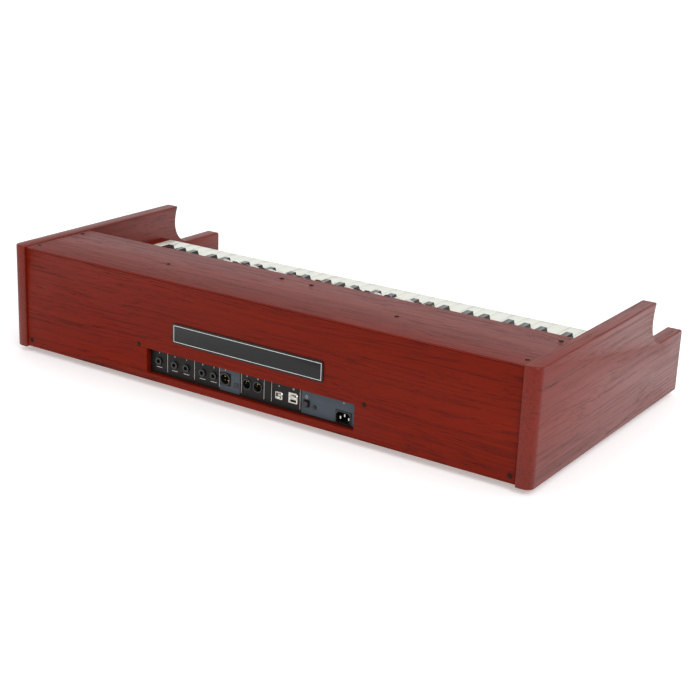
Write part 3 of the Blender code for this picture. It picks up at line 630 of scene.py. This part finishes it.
def finished(name, work, material):
    """The small piece that a bmesh holds."""
    mesh = bpy.data.meshes.new(name)
    bmesh.ops.recalc_face_normals(work, faces=work.faces)
    work.to_mesh(mesh)
    work.free()
    add_small(name, mesh, material)


def plain_mesh(obj):
    """An object's evaluated mesh. The object itself is removed."""
    graph = bpy.context.evaluated_depsgraph_get()
    mesh = bpy.data.meshes.new_from_object(obj.evaluated_get(graph))
    bpy.data.objects.remove(obj)
    return mesh


# Screws by geometry nodes


def screw_tree():
    """Round heads with a cross recess, one at each point of a mesh."""
    tree = bpy.data.node_groups.new("screw_heads", "GeometryNodeTree")
    tree.interface.new_socket("Geometry", in_out="INPUT", socket_type="NodeSocketGeometry")
    tree.interface.new_socket("Head Radius", in_out="INPUT", socket_type="NodeSocketFloat")
    tree.interface.new_socket("Turn", in_out="INPUT", socket_type="NodeSocketVector")
    tree.interface.new_socket("Material", in_out="INPUT", socket_type="NodeSocketMaterial")
    tree.interface.new_socket("Geometry", in_out="OUTPUT", socket_type="NodeSocketGeometry")
    add = tree.nodes.new
    join = tree.links.new
    entry = add("NodeGroupInput")
    leave = add("NodeGroupOutput")
    head = add("GeometryNodeMeshUVSphere")
    head.inputs["Segments"].default_value = HEAD_SEGMENTS
    head.inputs["Rings"].default_value = HEAD_RINGS
    join(entry.outputs["Head Radius"], head.inputs["Radius"])
    squash = add("GeometryNodeTransform")
    squash.inputs["Scale"].default_value = (1.0, 1.0, SCREW_FLATNESS)
    join(head.outputs["Mesh"], squash.inputs["Geometry"])
    cross = add("GeometryNodeJoinGeometry")
    for length, width in ((RECESS_LENGTH, RECESS_WIDTH), (RECESS_WIDTH, RECESS_LENGTH)):
        arm = add("GeometryNodeMeshCube")
        arm.inputs["Size"].default_value = (length, width, RECESS_DEPTH)
        join(arm.outputs["Mesh"], cross.inputs["Geometry"])
    lift = add("GeometryNodeTransform")
    lift.inputs["Translation"].default_value = (0.0, 0.0, RECESS_LIFT)
    join(cross.outputs["Geometry"], lift.inputs["Geometry"])
    recess = add("GeometryNodeMeshBoolean")
    recess.operation = "DIFFERENCE"
    join(squash.outputs["Geometry"], recess.inputs["Mesh 1"])
    join(lift.outputs["Geometry"], recess.inputs["Mesh 2"])
    points = add("GeometryNodeMeshToPoints")
    join(entry.outputs["Geometry"], points.inputs["Mesh"])
    placed = add("GeometryNodeInstanceOnPoints")
    join(points.outputs["Points"], placed.inputs["Points"])
    join(recess.outputs["Mesh"], placed.inputs["Instance"])
    turn = add("FunctionNodeEulerToRotation")
    join(entry.outputs["Turn"], turn.inputs["Euler"])
    join(turn.outputs["Rotation"], placed.inputs["Rotation"])
    realise = add("GeometryNodeRealizeInstances")
    join(placed.outputs["Instances"], realise.inputs["Geometry"])
    paint = add("GeometryNodeSetMaterial")
    join(realise.outputs["Geometry"], paint.inputs["Geometry"])
    join(entry.outputs["Material"], paint.inputs["Material"])
    join(paint.outputs["Geometry"], leave.inputs["Geometry"])
    return tree


def screws_at(name, tree, points, turn):
    """Screw heads at a list of points, realised as one plain mesh."""
    seeds = bpy.data.meshes.new(name + "_points")
    seeds.from_pydata(points, [], [])
    obj = link(name + "_points", seeds)
    step = obj.modifiers.new("heads", "NODES")
    step.node_group = tree
    values = {
        "Head Radius": sizes().screw_head,
        "Turn": turn,
        "Material": bpy.data.materials["bronze"],
    }
    for item in tree.interface.items_tree:
        if item.in_out == "INPUT" and item.name in values:
            step[item.identifier] = values[item.name]
    add_small(name, plain_mesh(obj), "bronze", sharp=CORNER_ANGLE)


# Operators, one for each group of pieces


class ORGAN_OT_finishes(bpy.types.Operator):
    """Make every finish"""

    bl_idname = "organ.finishes"
    bl_label = "Finishes"

    def execute(self, context):
        grain_group()
        fine_surface_group()
        make_woods()
        make_plastics()
        make_paints()
        make_metals()
        return {"FINISHED"}


class ORGAN_OT_case(bpy.types.Operator):
    """Dress the wooden case and its feet"""

    bl_idname = "organ.case"
    bl_label = "Case"

    def execute(self, context):
        edge = sizes().wood_edge
        softened("bass_cheek", CASE, "wood_along_y")
        softened("treble_cheek", CASE, "wood_along_y")
        softened("rear_panel", CASE, "wood_along_x", edge * REAR_EDGE_SHARE)
        softened("top_panel", CASE, "wood_top", edge)
        softened("front_rail", CASE, "wood_along_x", edge)
        softened("upper_key_slip", CASE, "wood_along_x", edge)
        softened("bottom_panel", CASE, "plain_board", SOFT_EDGE)
        for node in NODES:
            if node.endswith("_foot"):
                softened(node, CASE, "rubber", FULL_EDGE)
        return {"FINISHED"}


class ORGAN_OT_screws(bpy.types.Operator):
    """Put in the case's screws"""

    bl_idname = "organ.screws"
    bl_label = "Screws"

    def execute(self, context):
        tree = screw_tree()
        top = [(x, y, TOP_FACE) for x, y in TOP_SCREWS]
        rear = [(x, REAR_FACE, z) for x, z in REAR_SCREWS]
        screws_at("top_screws", tree, top, (0.0, 0.0, 0.0))
        screws_at("rear_screws", tree, rear, (-math.pi / 2, 0.0, 0.0))
        return {"FINISHED"}


class ORGAN_OT_keys(bpy.types.Operator):
    """Dress the keys and their beds"""

    bl_idname = "organ.keys"
    bl_label = "Keys"

    def execute(self, context):
        edge = sizes().key_edge
        black_edge = edge * BLACK_KEY_EDGE_SHARE
        for node in NODES:
            if node.endswith("black_keys"):
                softened(node, node, "black_key_plastic", black_edge)
            elif node.endswith("_keys"):
                softened(node, node, "ivory_plastic", edge)
        for manual in ("upper", "lower"):
            bed = manual + "_keybed"
            board = manual + "_contact_board"
            softened(bed, CASE, "zinc_steel", NARROW_EDGE, 1)
            softened(board, CASE, "circuit_board", FINE_EDGE, 1)
        return {"FINISHED"}


class ORGAN_OT_controls(bpy.types.Operator):
    """Dress the control panel, the drawbars and the volume knob"""

    bl_idname = "organ.controls"
    bl_label = "Controls"

    def execute(self, context):
        slots = {part["node"]: part["material_slot"] for part in frame["record"]["subparts"]}
        softened("control_panel", CASE, "black_paint", FINE_EDGE, 1)
        softened("drawbar_unit", CASE, "zinc_steel", SOFT_EDGE)
        for node in NODES:
            if "_drawbar_" in node:
                softened(node, node, slots[node], FULL_EDGE)
        softened("volume_knob", "volume_knob", "black_plastic", NARROW_EDGE)
        return {"FINISHED"}


class ORGAN_OT_name_plate(bpy.types.Operator):
    """Dress the bare plate on the rear and draw its outline"""

    bl_idname = "organ.name_plate"
    bl_label = "Name plate"

    def execute(self, context):
        softened("name_plate", CASE, "black_key_plastic", SOFT_EDGE)
        width = sizes().outline_width
        left = NAME_LOW[0] + OUTLINE_INSET
        right = NAME_HIGH[0] - OUTLINE_INSET
        low = NAME_LOW[2] + OUTLINE_INSET
        high = NAME_HIGH[2] - OUTLINE_INSET
        near = NAME_HIGH[1] - SKIN
        far = NAME_HIGH[1] + SKIN
        side_low = low + width + SKIN
        side_high = high - width - SKIN
        work = bmesh.new()
        box_into(work, (left, near, low), (right, far, low + width))
        box_into(work, (left, near, high - width), (right, far, high))
        box_into(work, (left, near, side_low), (left + width, far, side_high))
        box_into(work, (right - width, near, side_low), (right, far, side_high))
        finished("name_plate_outline", work, "white_ink")
        return {"FINISHED"}


class ORGAN_OT_connectors(bpy.types.Operator):
    """Dress the connector plate and everything in it"""

    bl_idname = "organ.connectors"
    bl_label = "Connectors"

    def execute(self, context):
        softened("connector_plate", CASE, "black_paint")
        softened("jack_board", CASE, "black_plastic")
        softened("speaker_socket", CASE, "black_plastic")
        softened("midi_sockets", CASE, "black_plastic")
        softened("usb_sockets", CASE, "nickel")
        softened("mains_inlet", CASE, "black_plastic")
        softened("power_button", "power_button", "black_plastic")
        self.round_socket_pins()
        self.mains_pins()
        self.usb_tongues()
        self.small_fittings()
        self.painted_zones()
        self.printed_lines()
        self.power_mark()
        self.printed_numbers()
        return {"FINISHED"}

    def round_socket_pins(self):
        """Five pins on half a circle in each MIDI socket, and four in the speaker socket."""
        work = bmesh.new()
        for x, z in MIDI_PLACES:
            for degrees in MIDI_PIN_ANGLES:
                angle = math.radians(degrees)
                pin = (x + PIN_CIRCLE * math.cos(angle), z - PIN_CIRCLE * math.sin(angle))
                plate_rod(work, pin, MIDI_PIN_RADIUS, MIDI_PIN_DEPTHS, PIN_SIDES)
        x, z = SPEAKER_PLACE
        for degrees in SPEAKER_PIN_ANGLES:
            angle = math.radians(degrees)
            pin = (x + PIN_CIRCLE * math.cos(angle), z + PIN_CIRCLE * math.sin(angle))
            plate_rod(work, pin, SPEAKER_PIN_RADIUS, SPEAKER_PIN_DEPTHS, PIN_SIDES)
        finished("round_socket_pins", work, "gold_pin")

    def mains_pins(self):
        work = bmesh.new()
        x, z = INLET_PLACE
        for shift, lift in MAINS_PIN_SHIFTS:
            plate_box(work, (x + shift, z + lift), MAINS_PIN_HALF, MAINS_PIN_DEPTHS)
        finished("mains_pins", work, "nickel")

    def usb_tongues(self):
        """Two flat tongues in the stacked USB sockets and a thick one in the square socket."""
        work = bmesh.new()
        x, z = USB_LARGE_PLACE
        for lift in USB_LARGE_LIFTS:
            plate_box(work, (x, z + lift), USB_LARGE_TONGUE_HALF, USB_LARGE_TONGUE_DEPTHS)
        plate_box(work, USB_SMALL_PLACE, USB_SMALL_TONGUE_HALF, USB_SMALL_TONGUE_DEPTHS)
        finished("usb_tongues", work, "beige_plastic")

    def small_fittings(self):
        """The round fitting by the power button and the square one by the speaker socket."""
        work = bmesh.new()
        for radius, low, high in FUSE_STEPS:
            plate_rod(work, FUSE_PLACE, radius, (low, high))
        plate_box(work, SQUARE_PLACE, SQUARE_HALF, SQUARE_DEPTHS)
        finished("small_fittings", work, "black_plastic")

    def painted_zones(self):
        """Blue-grey paint on the plate, in four boxes round each connector that it passes."""
        near = PLATE_FACE - SKIN
        far = PLATE_FACE + SKIN * 0.5
        work = bmesh.new()
        for (x, z), half, left, right in PAINT_ZONES:
            side_low = z - half[1] + SKIN
            side_high = z + half[1] - SKIN
            box_into(work, (left, near, z + half[1]), (right, far, PAINT_HIGH))
            box_into(work, (left, near, PAINT_LOW), (right, far, z - half[1]))
            box_into(work, (left, near, side_low), (x - half[0], far, side_high))
            box_into(work, (x + half[0], near, side_low), (right, far, side_high))
        finished("painted_zones", work, "blue_grey_paint")

    def printed_lines(self):
        """Upright lines between the connectors, and a short line under each jack."""
        divider_middle = (DIVIDER_LOW + DIVIDER_HIGH) / 2
        divider_half = (DIVIDER_HALF_WIDTH, (DIVIDER_HIGH - DIVIDER_LOW) / 2)
        work = bmesh.new()
        for x in DIVIDERS:
            plate_box(work, (x, divider_middle), divider_half, (-SKIN, SKIN))
        for x, z in JACK_PLACES:
            plate_box(work, (x, z - UNDERLINE_DROP), UNDERLINE_HALF, (-SKIN, SKIN))
        finished("printed_lines", work, "white_ink")

    def power_mark(self):
        """A printed ring over the power button."""
        x, z = POWER_PLACE
        work = bmesh.new()
        bmesh.ops.create_circle(work, cap_ends=False, segments=RING_SIDES, radius=RING_RADIUS)
        extruded = bmesh.ops.extrude_edge_only(work, edges=work.edges[:])
        outer = [part for part in extruded["geom"] if isinstance(part, bmesh.types.BMVert)]
        bmesh.ops.scale(work, vec=(RING_SPREAD, RING_SPREAD, 1.0), verts=outer)
        bmesh.ops.solidify(work, geom=work.faces[:], thickness=SKIN * 2)
        upright = Matrix.Rotation(math.pi / 2, 4, "X")
        place = Matrix.Translation((x, PLATE_FACE + SKIN, z + RING_LIFT))
        bmesh.ops.transform(work, matrix=place @ upright, verts=work.verts)
        finished("power_mark", work, "white_ink")

    def printed_numbers(self):
        """Plain numbers over the connectors."""
        places = [(x, height) for group, height in NUMBERED for x, _ in group]
        work = bmesh.new()
        for count, (x, z) in enumerate(places):
            work.from_mesh(self.number_mesh(str(count + 1), x, z))
        bmesh.ops.remove_doubles(work, verts=work.verts, dist=NUMBER_WELD)
        finished("printed_numbers", work, "white_ink")

    def number_mesh(self, text, x, z):
        """A number that reads from the rear."""
        curve = bpy.data.curves.new("number_" + text, "FONT")
        curve.body = text
        curve.size = NUMBER_SIZE
        curve.extrude = SKIN
        curve.align_x = "CENTER"
        mesh = plain_mesh(link("number_" + text, curve))
        mesh.transform(Matrix(((-1, 0, 0, x), (0, 0, 1, PLATE_FACE), (0, 1, 0, z), (0, 0, 0, 1))))
        return mesh


class ORGAN_OT_electronics(bpy.types.Operator):
    """Dress the boards inside"""

    bl_idname = "organ.electronics"
    bl_label = "Electronics"

    def execute(self, context):
        softened("main_board", CASE, "circuit_board", FINE_EDGE, 1)
        softened("power_supply", CASE, "zinc_steel", WIDE_EDGE)
        work = bmesh.new()
        for x, y, half in CHIPS:
            low = (x - half, y - half, BOARD_FACE - CHIP_SUNK)
            box_into(work, low, (x + half, y + half, BOARD_FACE + CHIP_HEIGHT))
        finished("chips", work, "black_plastic")
        return {"FINISHED"}


# Stage


def camera_matrix():
    """The camera's place and turn, from the angles that the photo gave."""
    level = math.cos(CAMERA_ELEVATION)
    across = math.sin(CAMERA_AZIMUTH) * level
    along = -math.cos(CAMERA_AZIMUTH) * level
    forward = Vector((across, along, -math.sin(CAMERA_ELEVATION)))
    right = forward.cross(Vector((0, 0, 1))).normalized()
    up = right.cross(forward)
    turned_right = right * math.cos(CAMERA_ROLL) + up * math.sin(CAMERA_ROLL)
    turned_up = up * math.cos(CAMERA_ROLL) - right * math.sin(CAMERA_ROLL)
    columns = Matrix((turned_right, turned_up, -forward)).transposed()
    return Matrix.Translation(Vector(CAMERA_PLACE)) @ columns.to_4x4()


def area_light(name, place, target, size, power):
    data = bpy.data.lights.new(name, "AREA")
    data.shape = "RECTANGLE"
    data.size, data.size_y = size
    data.energy = power
    turn = (Vector(place) - Vector(target)).to_track_quat("Z", "Y").to_matrix().to_4x4()
    link(name, data).matrix_world = Matrix.Translation(Vector(place)) @ turn


class ORGAN_OT_stage(bpy.types.Operator):
    """Set up the floor, the lights and the camera"""

    bl_idname = "organ.stage"
    bl_label = "Stage"

    def execute(self, context):
        self.floor()
        self.world(context.scene)
        for light in LIGHTS:
            area_light(*light)
        self.camera(context.scene)
        return {"FINISHED"}

    def floor(self):
        work = bmesh.new()
        bmesh.ops.create_grid(work, x_segments=1, y_segments=1, size=FLOOR_HALF)
        mesh = bpy.data.meshes.new("floor")
        work.to_mesh(mesh)
        work.free()
        material, shader = plain_material("floor_paper")
        shader.inputs["Base Color"].default_value = FLOOR_COLOUR
        shader.inputs["Emission Color"].default_value = STUDIO_WHITE
        shader.inputs["Emission Strength"].default_value = FLOOR_GLOW
        shader.inputs["Roughness"].default_value = FLOOR_ROUGHNESS
        mesh.materials.append(material)
        link("floor", mesh)

    def world(self, scene):
        world = bpy.data.worlds.new("studio")
        world.use_nodes = True
        background = world.node_tree.nodes["Background"]
        background.inputs["Color"].default_value = STUDIO_WHITE
        background.inputs["Strength"].default_value = WORLD_STRENGTH
        scene.world = world
        scene.view_settings.view_transform = "Standard"

    def camera(self, scene):
        data = bpy.data.cameras.new("camera")
        data.lens = CAMERA_LENS
        data.sensor_width = CAMERA_SENSOR
        data.shift_x, data.shift_y = CAMERA_SHIFT
        camera = link("camera", data)
        camera.matrix_world = camera_matrix()
        scene.camera = camera


class ORGAN_PT_panel(bpy.types.Panel):
    """The organ's steps and settings in the sidebar"""

    bl_idname = "ORGAN_PT_panel"
    bl_label = "Organ"
    bl_space_type = "VIEW_3D"
    bl_region_type = "UI"
    bl_category = "Organ"

    def draw(self, context):
        for name in ("wood_edge", "key_edge", "screw_head", "outline_width"):
            self.layout.prop(context.scene.organ_sizes, name)
        for name in ("stain", "grain", "ivory"):
            self.layout.prop(context.scene.organ_colours, name)
        for operator in OPERATORS:
            self.layout.operator(operator.bl_idname)


OPERATORS = (
    ORGAN_OT_finishes,
    ORGAN_OT_case,
    ORGAN_OT_screws,
    ORGAN_OT_keys,
    ORGAN_OT_controls,
    ORGAN_OT_name_plate,
    ORGAN_OT_connectors,
    ORGAN_OT_electronics,
    ORGAN_OT_stage,
)
CLASSES = (OrganSizes, OrganColours) + OPERATORS + (ORGAN_PT_panel,)


def register():
    for cls in CLASSES:
        bpy.utils.register_class(cls)
    bpy.types.Scene.organ_sizes = bpy.props.PointerProperty(type=OrganSizes)
    bpy.types.Scene.organ_colours = bpy.props.PointerProperty(type=OrganColours)


def unregister():
    del bpy.types.Scene.organ_colours
    del bpy.types.Scene.organ_sizes
    for cls in reversed(CLASSES):
        bpy.utils.unregister_class(cls)


def main():
    register()
    bpy.ops.organ.finishes()
    bpy.ops.organ.case()
    bpy.ops.organ.screws()
    bpy.ops.organ.keys()
    bpy.ops.organ.controls()
    bpy.ops.organ.name_plate()
    bpy.ops.organ.connectors()
    bpy.ops.organ.electronics()
    bpy.ops.organ.stage()


if __name__ == "__main__":
    main()
